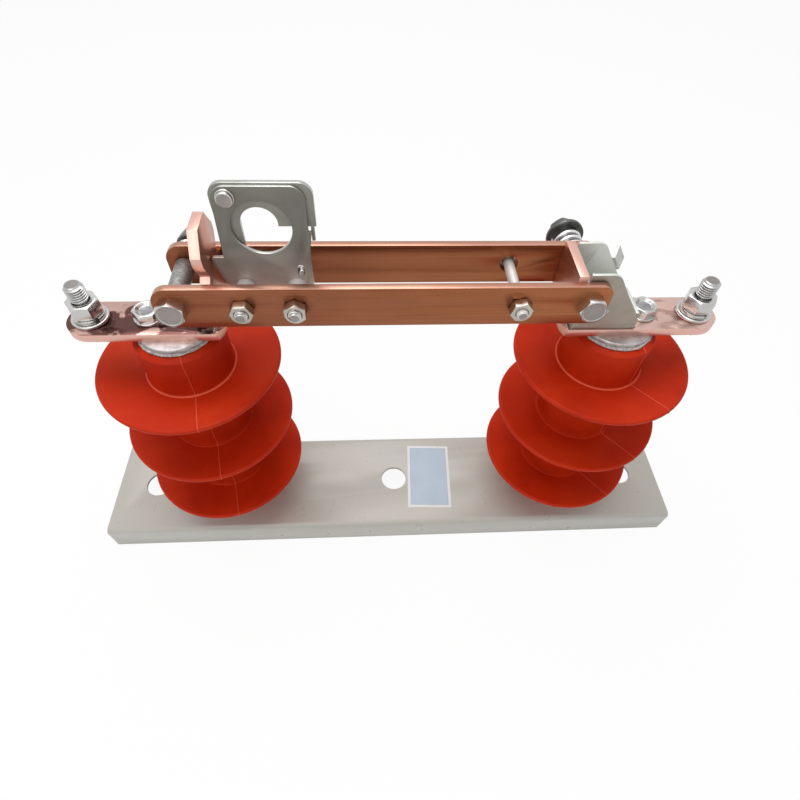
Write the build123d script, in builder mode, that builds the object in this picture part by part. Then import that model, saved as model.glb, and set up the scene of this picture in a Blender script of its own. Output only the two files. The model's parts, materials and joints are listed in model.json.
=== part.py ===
from build123d import *
import math
import os

# Single-pole knife-blade disconnector for a medium-voltage line.
# Two ribbed insulators stand on a folded steel channel. Each carries a bent copper terminal
# plate. A pair of copper blades turns on a bolt at the right plate and grips the edges of the
# left plate's upright. Millimetres, +Z up, +X along the base towards the hinge, -Y to the front.
# The origin is the middle of the base on the surface that it stands on.

# Base channel
base_length = 550.0
base_width = 100.0
base_height = 30.0
base_wall = 3.0
base_bend = 2.0
mount_hole_radius = 12.5
mount_hole_inset = 39.0

# Insulators
insulator_spacing = 307.4
insulator_height = 223.0
trunk_radius = 27.5
collar_radius = 28.5
collar_height = 7.0
collar_step = 1.0
shed_radius = 65.6
shed_count = 3
shed_pitch = 64.4
top_shed_drop = 36.9
shed_rim = 4.0
shed_rim_flat = 0.2
shed_top_rise = 5.0
shed_under_rise = 2.5
shed_root_round = 6.5
insert_radius = 25.0
insert_stand = 4.0
insert_depth = 14.0

# Copper terminal plates, measured from the axis of their insulator
plate_width = 32.3
plate_thickness = 6.0
plate_bend = 2.0
plate_corner_cut = 5.3
terminal_reach = 68.3
terminal_inset = 15.5
fixed_contact_reach = 37.9
hinge_contact_reach = 47.5
contact_width = 36.0
contact_foot_width = 21.6
contact_flare = 8.0
hinge_contact_rise = 47.3

# Pointed head of the fixed contact, measured up from the top of the plate
grip_rise = 40.0
neck_rise = 44.0
neck_width = 24.0
barb_rise = 55.5
shoulder_rise = 61.0
head_rise = 74.0
head_width = 17.6

# Blades: bolts measured from the faces of the two contacts, towards the outer ends
blade_height = 30.0
blade_thickness = 5.0
blade_play = 0.2
blade_axis_rise = 28.5
contact_bolt_offset = 24.6
hinge_bolt_offset = 11.7
blade_nose = 10.8
blade_heel = 10.8
nose_round = 11.0
heel_round = 7.0
tie_rod_offset = 45.5
tie_rod_hole_radius = 6.0

# Hinge bracket: heights measured up from the plate, lengths from its inner edge
bracket_sheet = 2.0
bracket_width = 33.8
bracket_gap = 0.3
bracket_length = 44.5
bracket_bend = 1.5
cheek_height = 47.3
cheek_top = 17.7
cheek_foot = 42.8
cheek_foot_height = 9.0
cheek_round = 9.0
lip_height = 12.0
lip_width = 26.0
stop_from_top = 13.3
stop_length = 11.6
stop_reach = 8.6
stop_lean = 35.0

# Pull plate, measured from the inner face of the fixed contact and up from the top of the plate
pull_sheet = 2.5
pull_top = 96.3
pull_bottom = 19.0
pull_left = 8.0
pull_left_top = 9.7
pull_right = 59.4
pull_right_top = 60.4
pull_corner = 8.5
pull_corner_low = 3.0
stop_lug_rise = 67.8
stop_lug_reach = 1.8
stop_lug_length = 12.8
ring_place = 33.8
ring_rise = 70.4
ring_radius = 17.2
beak_top = 50.5
beak_tip_rise = 47.0
beak_foot_rise = 23.0
beak_gap = 0.8
beak_round = 1.2
first_sleeve = 17.2
second_sleeve = 49.2
slot_place = 52.8
slot_rise = 40.7
slot_length = 8.2
slot_width = 4.0
slot_pin_head_radius = 3.2
slot_pin_head = 1.2
rivet_place = 17.7
rivet_rise = 90.2
rivet_radius = 3.0
rivet_collar_radius = 5.2
rivet_collar = 1.7
rivet_head_radius = 4.5
rivet_head = 2.3
rivet_tail_radius = 4.6
rivet_tail = 1.1

# Latch lever, measured as the pull plate is
lever_sheet = 3.0
lever_top = 96.8
lever_corner = 8.0
lever_left_top = 8.0
lever_right = 64.6
lever_neck_rise = 85.6
lever_arm_left = 9.6
lever_arm_end = 41.5
lever_arm_round = 4.0
lever_arm_rise = 70.2
lever_eye_place = 32.5
lever_eye_rise = 71.8
lever_eye_radius = 10.6
lever_tongue_inset = 1.3
lever_tongue_width = 1.9
lever_tongue_length = 9.7

# Fasteners: hexagon sizes are across the flats
m8_radius = 4.0
m8_hex = 13.0
m8_nut = 6.5
m8_head = 5.3
m10_radius = 5.0
m10_hex = 16.0
m10_nut = 8.4
m10_head = 6.4
m12_radius = 6.0
m12_root_radius = 5.4
m12_hex = 18.0
m12_nut = 10.8
m12_head = 7.5
m12_foot_grip = 12.0
thread_fit = 0.05
running_fit = 0.08
hole_ease = 0.5
stack_gap = 0.1
bolt_end_cut = 0.8
terminal_end_cut = 1.2
bolt_proud = 2.5
contact_bolt_proud = 0.5
sleeve_radius = 6.3
tie_rod_radius = 3.5
cap_bolt_spacing = 30.5
cap_bolt_grip = 12.0
cap_washer_radius = 9.5
cap_washer = 2.0
terminal_bolt_rise = 29.0
terminal_washer_radius = 12.0
terminal_washer = 2.5
lock_washer_radius = 10.5
lock_washer = 3.0
lock_washer_gap = 2.5
thread_runout = 0.5
inner_washer_radius = 10.0
inner_washer = 2.0
hinge_washer_radius = 13.0
hinge_washer = 3.0
hinge_spring_radius = 10.0
hinge_spring_wire = 2.8
hinge_spring_length = 22.8
hinge_spring_turns = 3.5
contact_washer_radius = 9.6
contact_washer = 2.0
contact_spring_radius = 9.0
contact_spring_wire = 2.4
contact_spring_length = 12.5
contact_spring_turns = 2.5
spring_wire_sides = 8
foot_washer_radius = 12.0
foot_washer = 2.5

# Levels and places that follow from the sizes above
cap_top = base_height + insulator_height
plate_top = cap_top + plate_thickness
axis_z = plate_top + blade_axis_rise
insulator_x = insulator_spacing / 2
mount_hole_reach = base_length / 2 - mount_hole_inset
terminal_tip = insulator_x + terminal_reach
terminal_x = terminal_tip - terminal_inset
fixed_contact_face = insulator_x - fixed_contact_reach
hinge_contact_face = insulator_x - hinge_contact_reach
contact_bolt_x = -fixed_contact_face - contact_bolt_offset
hinge_x = hinge_contact_face + hinge_bolt_offset
tie_rod_x = hinge_x - tie_rod_offset
first_sleeve_x = -fixed_contact_face + first_sleeve
second_sleeve_x = -fixed_contact_face + second_sleeve
blade_inside = contact_width / 2 + blade_play
blade_outside = blade_inside + blade_thickness
far_washer = blade_outside + inner_washer
pull_front = -pull_sheet - stack_gap / 2
pull_back = -stack_gap / 2
lever_front = stack_gap / 2
lever_back = lever_front + lever_sheet
sides = {"left": -1, "right": 1}

os.makedirs("parts", exist_ok=True)


def save(part, name):
    part.label = name
    export_step(part, f"parts/{name}.step")


def upright(y):
    """Plane across the object at depth y, with X to the right and Z up, facing the front."""
    return Plane(origin=(0, y, 0), x_dir=(1, 0, 0), z_dir=(0, -1, 0))


def side_on(x):
    """Plane across the base at x, with Y to the right and Z up, facing the hinge end."""
    return Plane(origin=(x, 0, 0), x_dir=(0, 1, 0), z_dir=(1, 0, 0))


def hexagon(across_flats):
    return RegularPolygon(radius=across_flats / 2, side_count=6, major_radius=False)


def ring(y_front, y_back, places, outer, inner):
    """Washers or sleeves with their axes along Y, one at each (x, z) place."""
    with BuildPart() as piece:
        with BuildSketch(upright(y_back)):
            with Locations(*places):
                Circle(outer)
                Circle(inner, mode=Mode.SUBTRACT)
        extrude(amount=y_back - y_front)
    return piece.part


def cross_nut(y_front, y_back, places, across_flats, bore):
    """Hexagon nuts with their axes along Y."""
    with BuildPart() as piece:
        with BuildSketch(upright(y_back)):
            with Locations(*places):
                hexagon(across_flats)
                Circle(bore, mode=Mode.SUBTRACT)
        extrude(amount=y_back - y_front)
    return piece.part


def pull_plane(y):
    """Upright plane at depth y, measured from the fixed contact's face and the plates' top."""
    return Plane(
        origin=(-fixed_contact_face, y, plate_top), x_dir=(1, 0, 0), z_dir=(0, -1, 0)
    )


def cross_bolt(head_front, head_back, tip, places, across_flats, radius):
    """Hexagon bolts along Y. The head lies between two depths and the shaft ends at tip."""
    under_head = head_back if tip > head_back else head_front
    with BuildPart() as piece:
        with BuildSketch(upright(head_back)):
            with Locations(*places):
                hexagon(across_flats)
        extrude(amount=head_back - head_front)
        with BuildSketch(upright(under_head)):
            with Locations(*places):
                Circle(radius)
        extrude(amount=under_head - tip)
        ends = [f for f in piece.faces() if abs(f.center().Y - tip) < 1e-6]
        chamfer([edge for face in ends for edge in face.edges()], length=bolt_end_cut)
    return piece.part


def hex_bolt(x_places, seat, tip, across_flats, head, radius, tip_cut):
    """Upright hexagon bolts whose heads bear on level seat; the shafts run to level tip."""
    grows = 1 if tip < seat else -1
    with BuildPart() as piece:
        with BuildSketch(Plane.XY.offset(seat)):
            with Locations(*[(x, 0) for x in x_places]):
                hexagon(across_flats)
        extrude(amount=grows * head)
        with BuildSketch(Plane.XY.offset(seat)):
            with Locations(*[(x, 0) for x in x_places]):
                Circle(radius)
        extrude(amount=tip - seat)
        ends = [f for f in piece.faces() if abs(f.center().Z - tip) < 1e-6]
        chamfer([edge for face in ends for edge in face.edges()], length=tip_cut)
    return piece.part


def flat_ring(x_places, bottom, thickness, outer, inner):
    """Upright washers that lie on level bottom."""
    with BuildPart() as piece:
        with BuildSketch(Plane.XY.offset(bottom)):
            with Locations(*[(x, 0) for x in x_places]):
                Circle(outer)
                Circle(inner, mode=Mode.SUBTRACT)
        extrude(amount=thickness)
    return piece.part


# Base channel: folded sheet, open below and at both ends
with BuildPart() as base_channel:
    with BuildSketch(side_on(-base_length / 2)):
        with Locations((0, base_height / 2)):
            Rectangle(base_width, base_height)
        with Locations((0, (base_height - base_wall) / 2)):
            Rectangle(base_width - 2 * base_wall, base_height - base_wall, mode=Mode.SUBTRACT)
    extrude(amount=base_length)
    long_edges = base_channel.edges().filter_by(Axis.X)
    outer_bends = [e for e in long_edges if abs(e.center().Z - base_height) < 0.01]
    fillet(outer_bends, radius=base_bend + base_wall)
    long_edges = base_channel.edges().filter_by(Axis.X)
    inner_bends = [
        e for e in long_edges
        if abs(e.center().Z - (base_height - base_wall)) < 0.01
        and abs(abs(e.center().Y) - (base_width / 2 - base_wall)) < 0.01
    ]
    fillet(inner_bends, radius=base_bend)
    with Locations(*[(x, 0, base_height) for x in (-mount_hole_reach, 0, mount_hole_reach)]):
        Hole(mount_hole_radius, depth=base_wall)
    with Locations(*[(side * insulator_x, 0, base_height) for side in sides.values()]):
        Hole(m12_radius + hole_ease, depth=base_wall)
save(base_channel.part, "base_channel")

# Insulators: one moulding of trunk and sheds round a steel insert at each end
for name, side in sides.items():
    x = side * insulator_x
    outline = [
        (0, base_height + insert_depth),
        (insert_radius + stack_gap, base_height + insert_depth),
        (insert_radius + stack_gap, base_height + insert_stand),
        (collar_radius, base_height + insert_stand),
        (collar_radius, base_height + insert_stand + collar_height),
        (trunk_radius, base_height + insert_stand + collar_height + collar_step),
    ]
    for shed in reversed(range(shed_count)):
        rim = cap_top - top_shed_drop - shed * shed_pitch
        outline += [
            (trunk_radius, rim - shed_rim / 2 + shed_under_rise),
            (shed_radius, rim - shed_rim / 2),
            (shed_radius, rim + shed_rim / 2),
            (trunk_radius, rim + shed_rim / 2 + shed_top_rise),
        ]
    outline += [
        (trunk_radius, cap_top - insert_stand - collar_height - collar_step),
        (collar_radius, cap_top - insert_stand - collar_height),
        (collar_radius, cap_top - insert_stand),
        (insert_radius + stack_gap, cap_top - insert_stand),
        (insert_radius + stack_gap, cap_top - insert_depth),
        (0, cap_top - insert_depth),
    ]
    with BuildPart() as insulator:
        axis_plane = Plane(origin=(x, 0, 0), x_dir=(1, 0, 0), z_dir=(0, -1, 0))
        with BuildSketch(axis_plane) as section:
            with BuildLine():
                Polyline(*outline, close=True)
            make_face()
            corners = section.vertices()
            rims = [v for v in corners if abs(v.X - shed_radius) < 0.01]
            fillet(rims, radius=(shed_rim - shed_rim_flat) / 2)
            corners = section.vertices()
            collar_reach = insert_stand + collar_height + 2 * collar_step
            low, high = base_height + collar_reach, cap_top - collar_reach
            roots = [v for v in corners if abs(v.X - trunk_radius) < 0.01 and low < v.Y < high]
            fillet(roots, radius=shed_root_round)
        revolve(axis=Axis((x, 0, 0), (0, 0, 1)))
    save(insulator.part, f"insulator_{name}")

    with BuildPart() as cap:
        with BuildSketch(Plane.XY.offset(cap_top - insert_depth)):
            with Locations((x, 0)):
                Circle(insert_radius)
        extrude(amount=insert_depth)
        with Locations(*[(x + step * cap_bolt_spacing / 2, 0, cap_top) for step in (-1, 1)]):
            Hole(m10_radius + thread_fit, depth=cap_bolt_grip)
    save(cap.part, f"insulator_cap_{name}")

    with BuildPart() as foot:
        with BuildSketch(Plane.XY.offset(base_height)):
            with Locations((x, 0)):
                Circle(insert_radius)
                Circle(m12_radius + thread_fit, mode=Mode.SUBTRACT)
        extrude(amount=insert_depth)
    save(foot.part, f"insulator_foot_{name}")

    # Bolt up through the channel, with its washer, into the foot
    with BuildPart() as foot_bolt:
        with BuildSketch(Plane.XY.offset(base_height - base_wall - foot_washer)):
            with Locations((x, 0)):
                Circle(foot_washer_radius)
        extrude(amount=foot_washer)
        with BuildSketch(Plane.XY.offset(base_height - base_wall - foot_washer - m12_head)):
            with Locations((x, 0)):
                hexagon(m12_hex)
        extrude(amount=m12_head)
        with BuildSketch(Plane.XY.offset(base_height - base_wall)):
            with Locations((x, 0)):
                Circle(m12_radius)
        extrude(amount=base_wall + m12_foot_grip)
    save(foot_bolt.part, f"foot_bolt_{name}")


def terminal_plate(side, face, upright_outline):
    """Copper strip with a round outer end, bent up at its inner end into a contact upright."""
    tip = side * terminal_tip
    round_middle = side * (terminal_tip - plate_width / 2)
    far_face = face + plate_thickness
    bend_start = far_face + plate_bend
    half = plate_width / 2
    with BuildPart() as plate:
        with BuildSketch(upright(half)):
            with BuildLine():
                Line((tip, cap_top), (side * (face + plate_bend + plate_thickness), cap_top))
                Line((tip, cap_top), (tip, plate_top))
                Line((tip, plate_top), (side * bend_start, plate_top))
                RadiusArc(
                    (side * bend_start, plate_top),
                    (side * far_face, plate_top + plate_bend),
                    side * plate_bend,
                )
                Line((side * far_face, plate_top + plate_bend), (side * face, plate_top + plate_bend))
                RadiusArc(
                    (side * face, plate_top + plate_bend),
                    (side * bend_start, cap_top),
                    -side * (plate_bend + plate_thickness),
                )
            make_face()
        extrude(amount=plate_width)
        with BuildSketch(Plane.XY.offset(cap_top)):
            with BuildLine():
                Polyline(
                    (round_middle, half),
                    (side * (face + plate_corner_cut), half),
                    (side * face, half - plate_corner_cut),
                    (side * face, -half + plate_corner_cut),
                    (side * (face + plate_corner_cut), -half),
                    (round_middle, -half),
                )
                ThreePointArc((round_middle, -half), (tip, 0), (round_middle, half))
            make_face()
        extrude(amount=plate_thickness + plate_bend, mode=Mode.INTERSECT)
        with BuildSketch(side_on(min(side * face, side * far_face))):
            with BuildLine():
                Polyline(*upright_outline, close=True)
            make_face()
        extrude(amount=plate_thickness)
        cap_places = [side * insulator_x + step * cap_bolt_spacing / 2 for step in (-1, 1)]
        with Locations(*[(place, 0, plate_top) for place in cap_places]):
            Hole(m10_radius + hole_ease, depth=plate_thickness)
        with Locations((side * terminal_x, 0, plate_top)):
            Hole(m12_radius + hole_ease, depth=plate_thickness)
    return plate.part


def mirrored(half_outline):
    """Closed outline from its right half, given from the bottom to the top."""
    return half_outline + [(-y, z) for y, z in reversed(half_outline)]


foot_of_upright = [
    (contact_foot_width / 2, plate_top + plate_bend),
    (contact_width / 2, plate_top + plate_bend + contact_flare),
]
fixed_outline = foot_of_upright + [
    (contact_width / 2, plate_top + grip_rise),
    (neck_width / 2, plate_top + neck_rise),
    (contact_width / 2, plate_top + barb_rise),
    (contact_width / 2, plate_top + shoulder_rise),
    (head_width / 2, plate_top + head_rise),
]
hinge_outline = foot_of_upright + [(contact_width / 2, plate_top + hinge_contact_rise)]
save(terminal_plate(-1, fixed_contact_face, mirrored(fixed_outline)), "fixed_contact")
save(terminal_plate(1, hinge_contact_face, mirrored(hinge_outline)), "hinge_contact")

# Hinge bracket: folded sheet with two cheeks, an upturned end and a stop bent out at the back
bracket_x = hinge_contact_face + plate_thickness + plate_bend + bracket_gap
cheek_slope = math.atan2(cheek_height - cheek_foot_height, cheek_foot - cheek_top)
with BuildPart() as hinge_bracket:
    with BuildSketch(side_on(bracket_x)):
        with Locations((0, plate_top + cheek_height / 2)):
            Rectangle(bracket_width, cheek_height)
        with Locations((0, plate_top + bracket_sheet + cheek_height / 2)):
            Rectangle(bracket_width - 2 * bracket_sheet, cheek_height, mode=Mode.SUBTRACT)
    extrude(amount=bracket_length)
    low_edges = hinge_bracket.edges().filter_by(Axis.X)
    fillet(
        [e for e in low_edges if abs(e.center().Z - plate_top) < 0.01],
        radius=bracket_bend + bracket_sheet,
    )
    low_edges = hinge_bracket.edges().filter_by(Axis.X)
    fillet(
        [
            e for e in low_edges
            if abs(e.center().Z - plate_top - bracket_sheet) < 0.01
            and abs(e.center().Y) < bracket_width / 2 - bracket_sheet / 2
        ],
        radius=bracket_bend,
    )
    with BuildSketch(upright(bracket_width / 2)) as cheek:
        with BuildLine():
            Polyline(
                (bracket_x, plate_top),
                (bracket_x + bracket_length, plate_top),
                (bracket_x + bracket_length, plate_top + bracket_sheet),
                (bracket_x + cheek_foot, plate_top + bracket_sheet + bracket_bend),
                (bracket_x + cheek_foot, plate_top + cheek_foot_height),
                (bracket_x + cheek_top, plate_top + cheek_height),
                (bracket_x, plate_top + cheek_height),
                close=True,
            )
        make_face()
        crown = [v for v in cheek.vertices() if abs(v.X - bracket_x - cheek_top) < 0.01]
        fillet(crown, radius=cheek_round)
    extrude(amount=bracket_width, mode=Mode.INTERSECT)
    with BuildSketch(side_on(bracket_x + bracket_length - bracket_sheet)):
        with Locations((0, plate_top + lip_height / 2)):
            Rectangle(lip_width, lip_height)
    extrude(amount=bracket_sheet)
    stop_middle = stop_from_top + stop_length / 2
    down_slope = Vector(math.cos(cheek_slope), 0, -math.sin(cheek_slope))
    off_slope = Vector(math.sin(cheek_slope), 0, math.cos(cheek_slope))
    lean = math.radians(stop_lean)
    stop_run = Vector(0, math.cos(lean), 0) + off_slope * math.sin(lean)
    stop_foot = (
        Vector(bracket_x + cheek_top, bracket_width / 2 - bracket_sheet, plate_top + cheek_height)
        + down_slope * stop_middle
    )
    with BuildSketch(Plane(origin=stop_foot, x_dir=down_slope, z_dir=stop_run)):
        with Locations((0, -bracket_sheet / 2)):
            Rectangle(stop_length, bracket_sheet)
    extrude(amount=stop_reach + bracket_sheet)
    with BuildSketch(upright(bracket_width)):
        with Locations((hinge_x, axis_z)):
            Circle(m10_radius + running_fit)
    extrude(amount=2 * bracket_width, mode=Mode.SUBTRACT)
    with Locations((insulator_x - cap_bolt_spacing / 2, 0, plate_top + bracket_sheet)):
        Hole(m10_radius + hole_ease, depth=bracket_sheet)
save(hinge_bracket.part, "hinge_bracket")

# Bolts that hold each terminal plate on its insulator; the inner right one holds the bracket too
for name, side in sides.items():
    outer_x = side * (insulator_x + cap_bolt_spacing / 2)
    inner_x = side * (insulator_x - cap_bolt_spacing / 2)
    inner_seat = plate_top + (bracket_sheet if name == "right" else 0)
    with BuildPart() as washers:
        for x, seat in ((outer_x, plate_top), (inner_x, inner_seat)):
            add(flat_ring([x], seat, cap_washer, cap_washer_radius, m10_radius + stack_gap))
    save(washers.part, f"cap_washers_{name}")
    with BuildPart() as bolts:
        for x, seat in ((outer_x, plate_top), (inner_x, inner_seat)):
            tip = cap_top - cap_bolt_grip + stack_gap
            seat_top = seat + cap_washer
            add(hex_bolt([x], seat_top, tip, m10_hex, m10_head, m10_radius, bolt_end_cut))
    save(bolts.part, f"cap_bolts_{name}")

# Terminal bolts stand up through the outer ends of the plates. Inside the nut, bolt and nut meet
# at the root of the thread; above it the free thread has its full radius.
lock_bottom = plate_top + terminal_washer
nut_bottom = lock_bottom + lock_washer
nut_top = nut_bottom + m12_nut
for name, side in sides.items():
    x = side * terminal_x
    top = plate_top + terminal_bolt_rise
    with BuildPart() as stud:
        add(hex_bolt([x], cap_top, top, m12_hex, m12_head, m12_radius, terminal_end_cut))
        with BuildSketch(Plane.XY.offset(nut_bottom)):
            with Locations((x, 0)):
                Circle(m12_radius + hole_ease)
                Circle(m12_root_radius, mode=Mode.SUBTRACT)
        extrude(amount=m12_nut + thread_runout, mode=Mode.SUBTRACT)
    save(stud.part, f"terminal_bolt_{name}")
    save(
        flat_ring([x], plate_top, terminal_washer, terminal_washer_radius, m12_radius + hole_ease),
        f"terminal_washer_{name}",
    )
    with BuildPart() as lock:
        with BuildSketch(Plane.XY.offset(lock_bottom)):
            with Locations((x, 0)):
                Circle(lock_washer_radius)
                Circle(m12_radius + stack_gap, mode=Mode.SUBTRACT)
            with Locations((x, -lock_washer_radius)):
                Rectangle(lock_washer_gap, 2 * (lock_washer_radius - m12_radius), mode=Mode.SUBTRACT)
        extrude(amount=lock_washer)
    save(lock.part, f"terminal_lock_washer_{name}")
    with BuildPart() as nut:
        with BuildSketch(Plane.XY.offset(nut_bottom)):
            with Locations((x, 0)):
                hexagon(m12_hex)
                Circle(m12_root_radius + thread_fit, mode=Mode.SUBTRACT)
        extrude(amount=m12_nut)
    save(nut.part, f"terminal_nut_{name}")

# Blades: two flat copper bars on edge
blade_left = contact_bolt_x - blade_nose
blade_right = hinge_x + blade_heel
sleeve_places = [(first_sleeve_x, axis_z), (second_sleeve_x, axis_z)]
for name, back, rod_hole in (
    ("front", -blade_inside, tie_rod_radius + stack_gap),
    ("back", blade_outside, tie_rod_hole_radius),
):
    with BuildPart() as blade:
        with BuildSketch(upright(back)) as bar:
            with Locations(((blade_left + blade_right) / 2, axis_z)):
                Rectangle(blade_right - blade_left, blade_height)
            fillet(bar.vertices().group_by(Axis.X)[0], radius=nose_round)
            fillet(bar.vertices().group_by(Axis.X)[-1], radius=heel_round)
            with Locations((contact_bolt_x, axis_z), (hinge_x, axis_z)):
                Circle(m10_radius + stack_gap, mode=Mode.SUBTRACT)
            with Locations(*sleeve_places):
                Circle(m8_radius + stack_gap, mode=Mode.SUBTRACT)
            with Locations((tie_rod_x, axis_z)):
                Circle(rod_hole, mode=Mode.SUBTRACT)
        extrude(amount=blade_thickness)
    save(blade.part, f"blade_{name}")

# Spring-loaded bolts at both ends of the blades
spring_stacks = (
    (
        "hinge", hinge_x, hinge_spring_radius, hinge_spring_wire, hinge_spring_length,
        hinge_spring_turns, hinge_washer_radius, hinge_washer, bolt_proud,
    ),
    (
        "contact", contact_bolt_x, contact_spring_radius, contact_spring_wire,
        contact_spring_length, contact_spring_turns, contact_washer_radius, contact_washer,
        contact_bolt_proud,
    ),
)
for name, x, coil_outside, wire, length, turns, washer_radius, washer, proud in spring_stacks:
    place = [(x, axis_z)]
    far_spring = far_washer + length
    far_nut = far_spring + washer
    far_end = far_nut + m10_nut + proud
    bolt = cross_bolt(
        -blade_outside - m10_head, -blade_outside, far_end, place, m10_hex, m10_radius
    )
    save(bolt, f"{name}_bolt")
    washer_bore = m10_radius + stack_gap
    save(
        ring(blade_outside, far_washer, place, inner_washer_radius, washer_bore),
        f"{name}_inner_washer",
    )
    save(ring(far_spring, far_nut, place, washer_radius, washer_bore), f"{name}_outer_washer")
    save(
        cross_nut(far_nut, far_nut + m10_nut, place, m10_hex, m10_radius + thread_fit),
        f"{name}_nut",
    )
    with BuildPart() as spring:
        with BuildLine() as coil:
            Helix(
                pitch=(length - wire - 2 * stack_gap) / turns,
                height=length - wire - 2 * stack_gap,
                radius=coil_outside - wire / 2,
                center=(x, far_washer + wire / 2 + stack_gap, axis_z),
                direction=(0, 1, 0),
            )
        with BuildSketch(Plane(origin=coil.line @ 0, z_dir=coil.line % 0)):
            RegularPolygon(radius=wire / 2, side_count=spring_wire_sides)
        sweep(is_frenet=True)
    save(spring.part, f"{name}_spring")
save(
    ring(
        -blade_inside, blade_inside, [(contact_bolt_x, axis_z)], sleeve_radius,
        m10_radius + stack_gap,
    ),
    "contact_sleeve",
)

# Pull plate: the hook of an operating rod goes through its ring. Its beak points at the fixed
# contact and a small lug on its right edge stands under the latch lever.
sleeve_local = [(first_sleeve, blade_axis_rise), (second_sleeve, blade_axis_rise)]
right_lean = (pull_right_top - pull_right) / (pull_top - pull_bottom)
lug_edge = pull_right + right_lean * (stop_lug_rise - pull_bottom)
lug_foot_rise = stop_lug_rise - stop_lug_length
lug_foot = pull_right + right_lean * (lug_foot_rise - pull_bottom)
with BuildPart() as pull_plate:
    with BuildSketch(pull_plane(pull_back)) as face:
        with BuildLine():
            Polyline(
                (pull_left, beak_top),
                (beak_gap, beak_top),
                (beak_gap, beak_tip_rise),
                (pull_left, beak_foot_rise),
                (pull_left + pull_corner_low, pull_bottom),
                (pull_right, pull_bottom),
                (lug_foot, lug_foot_rise),
                (lug_edge + stop_lug_reach, stop_lug_rise),
                (lug_edge, stop_lug_rise),
                (pull_right_top, pull_top),
                (pull_left_top, pull_top),
                close=True,
            )
        make_face()
        top_corners = face.vertices().group_by(Axis.Y)[-1]
        fillet(top_corners, radius=pull_corner)
        beak_corners = face.vertices().group_by(Axis.X)[0]
        fillet(beak_corners, radius=beak_round)
        with Locations((ring_place, ring_rise)):
            Circle(ring_radius, mode=Mode.SUBTRACT)
        with Locations((slot_place, slot_rise)):
            SlotOverall(slot_length, slot_width, rotation=90, mode=Mode.SUBTRACT)
        with Locations((rivet_place, rivet_rise)):
            Circle(rivet_radius + stack_gap, mode=Mode.SUBTRACT)
        with Locations(*sleeve_local):
            Circle(m8_radius + stack_gap, mode=Mode.SUBTRACT)
    extrude(amount=pull_sheet)
save(pull_plate.part, "pull_plate")

# Latch lever: hangs from the rivet behind the pull plate, with a long arm and a short one
eye_left = lever_eye_place - lever_eye_radius
tongue_right = lever_right - lever_tongue_inset
tongue_left = tongue_right - lever_tongue_width
tongue_end = lever_arm_rise - lever_tongue_length
with BuildPart() as latch_lever:
    with BuildSketch(pull_plane(lever_back)) as outline:
        with BuildLine():
            Polyline(
                (lever_arm_left, lever_arm_end),
                (eye_left, lever_arm_end),
                (eye_left, lever_arm_rise),
                (tongue_left, lever_arm_rise),
                (tongue_left, tongue_end),
                (tongue_right, tongue_end),
                (tongue_right, lever_arm_rise),
                (lever_right, lever_arm_rise),
                (lever_right, lever_top),
                (lever_left_top, lever_top),
                (lever_left_top, lever_neck_rise),
                close=True,
            )
        make_face()
        fillet(outline.vertices().group_by(Axis.Y)[-1], radius=lever_corner)
        fillet(outline.vertices().group_by(Axis.Y)[0], radius=lever_arm_round)
        with Locations((lever_eye_place, lever_eye_rise)):
            Circle(lever_eye_radius, mode=Mode.SUBTRACT)
        with Locations((rivet_place, rivet_rise)):
            Circle(rivet_radius + running_fit, mode=Mode.SUBTRACT)
    extrude(amount=lever_sheet)
save(latch_lever.part, "latch_lever")

# Rivet that carries the lever, and the short pin in the slot of the pull plate
rivet_back = lever_back + stack_gap
pin_place = (slot_place, slot_rise - (slot_length - slot_width) / 2)
with BuildPart() as pull_plate_rivets:
    for back, radius, length in (
        (pull_front - rivet_collar, rivet_head_radius, rivet_head),
        (pull_front, rivet_collar_radius, rivet_collar),
        (rivet_back, rivet_radius, rivet_back - pull_front),
        (rivet_back + rivet_tail, rivet_tail_radius, rivet_tail),
    ):
        with BuildSketch(pull_plane(back)):
            with Locations((rivet_place, rivet_rise)):
                Circle(radius)
        extrude(amount=length)
    for back, radius, length in (
        (pull_back, slot_width / 2 - stack_gap, pull_sheet),
        (pull_back + slot_pin_head, slot_pin_head_radius, slot_pin_head),
    ):
        with BuildSketch(pull_plane(back)):
            with Locations(pin_place):
                Circle(radius)
        extrude(amount=length)
save(pull_plate_rivets.part, "pull_plate_rivets")

# Sleeves, bolts and nuts that hold the pull plate between the blades
with BuildPart() as pull_plate_sleeves:
    add(ring(-blade_inside, pull_front, sleeve_places, sleeve_radius, m8_radius + stack_gap))
    add(ring(pull_back, blade_inside, sleeve_places, sleeve_radius, m8_radius + stack_gap))
save(pull_plate_sleeves.part, "pull_plate_sleeves")
front_tip = -blade_outside - m8_nut - bolt_proud
save(
    cross_bolt(
        blade_outside, blade_outside + m8_head, front_tip, sleeve_places, m8_hex, m8_radius
    ),
    "pull_plate_bolts",
)
save(
    cross_nut(
        -blade_outside - m8_nut, -blade_outside, sleeve_places, m8_hex, m8_radius + thread_fit
    ),
    "pull_plate_nuts",
)

# Plain tie rod with a nut outside each blade
rod_place = [(tie_rod_x, axis_z)]
rod_end = blade_outside + m8_nut + bolt_proud
with BuildPart() as tie_rod:
    with BuildSketch(upright(rod_end)):
        with Locations(*rod_place):
            Circle(tie_rod_radius)
    extrude(amount=2 * rod_end)
    chamfer(tie_rod.edges().filter_by(GeomType.CIRCLE), length=bolt_end_cut)
save(tie_rod.part, "tie_rod")
with BuildPart() as tie_rod_nuts:
    for front in (-blade_outside - m8_nut, blade_outside):
        add(cross_nut(front, front + m8_nut, rod_place, m8_hex, tie_rod_radius + thread_fit))
save(tie_rod_nuts.part, "tie_rod_nuts")
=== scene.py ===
import json
import math

import bmesh
import bpy
from mathutils import Matrix, Vector, noise


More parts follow.
